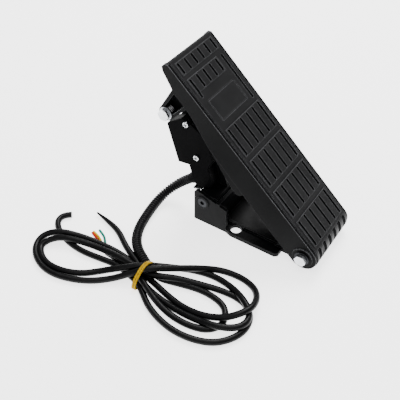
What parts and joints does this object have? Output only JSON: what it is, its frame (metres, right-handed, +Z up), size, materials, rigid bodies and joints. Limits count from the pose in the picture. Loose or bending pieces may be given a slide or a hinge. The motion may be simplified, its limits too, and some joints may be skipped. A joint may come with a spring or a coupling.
{
  "type": "accelerator foot pedal",
  "caption": "Floor-mounted foot pedal: ribbed treadle hinged at the heel of a low base, driving a lever on an upright rotary sensor, with a cable bundle.",
  "frame": {"origin": "on the floor, midway between the two floor mounting holes", "axes": "+X across the pedal (right foot side), +Y from the heel hinge towards the toe, +Z up from the floor"},
  "size_m": [0.2107, 0.2386, 0.1636],
  "materials": {
    "base_plastic": "moulded satin black",
    "treadle_plastic": "moulded satin black",
    "tread_rubber": "matte moulded black",
    "sensor_plastic": "moulded satin black",
    "bearing_plastic": "black acetal",
    "bumper_rubber": "matte",
    "seal_rubber": "matte",
    "bright_zinc": "bright zinc plate",
    "steel": "plain ground",
    "spring_steel": "bright drawn wire",
    "black_steel": "black oxide",
    "brass": "machined",
    "magnet": "nickel plated",
    "board": "solder mask",
    "chip": "epoxy",
    "conduit_plastic": "corrugated satin black",
    "cable_jacket": "smooth black PVC",
    "band_yellow": "yellow-orange latex"
  },
  "bodies": {
    "root": {"base_frame": "base_plastic", "ear_bushes": "bearing_plastic", "sensor_bracket": "base_plastic", "travel_bumper": "bumper_rubber", "side_bolts": "black_steel", "sensor_housing": "sensor_plastic", "cover_seal": "seal_rubber", "sensor_cover": "sensor_plastic", "sensor_screws": "bright_zinc", "circuit_board": "board", "hall_chips": "chip", "rotor_bush": "brass", "conduit_gland": "sensor_plastic", "conduit_clip": "black_steel", "conduit": "conduit_plastic", "cable_hank": "cable_jacket", "cable_tail_a": "cable_jacket", "cable_tail_b": "cable_jacket", "rubber_band": "band_yellow", "heel_spring_left": "spring_steel", "heel_spring_right": "spring_steel"},
    "treadle": {"treadle_body": "treadle_plastic", "tread_pad": "tread_rubber", "hinge_bolt": "bright_zinc", "hinge_washer_left": "black_steel", "hinge_washer_right": "black_steel", "hinge_nut": "bright_zinc", "hinge_sleeve": "steel", "lever_pin_bolt": "bright_zinc", "pin_washer": "bright_zinc", "pin_roller": "bearing_plastic", "lever_pin_nut": "bright_zinc", "lug_spring": "spring_steel"},
    "lever": {"sensor_lever": "black_steel", "rotor_shaft": "steel", "lever_screw": "bright_zinc", "magnet_rotor": "bearing_plastic", "ring_magnet": "magnet"}
  },
  "joints": [
    {"name": "treadle_hinge", "type": "hinge", "parent": "root", "child": "treadle", "pos_m": [0, -0.0725, 0.014], "axis": [-1, 0, 0], "range_deg": [0, 11.5], "stiffness_Nm_per_rad": 4, "springref_deg": -28.65},
    {"name": "lever_pivot", "type": "hinge", "parent": "root", "child": "lever", "pos_m": [0, 0.05408, 0.08272], "axis": [-1, 0, 0], "range_deg": [0, 59]}
  ],
  "couplings": [
    {"joint": "lever_pivot", "follows": "treadle_hinge", "ratio": 5.1095}
  ]
}
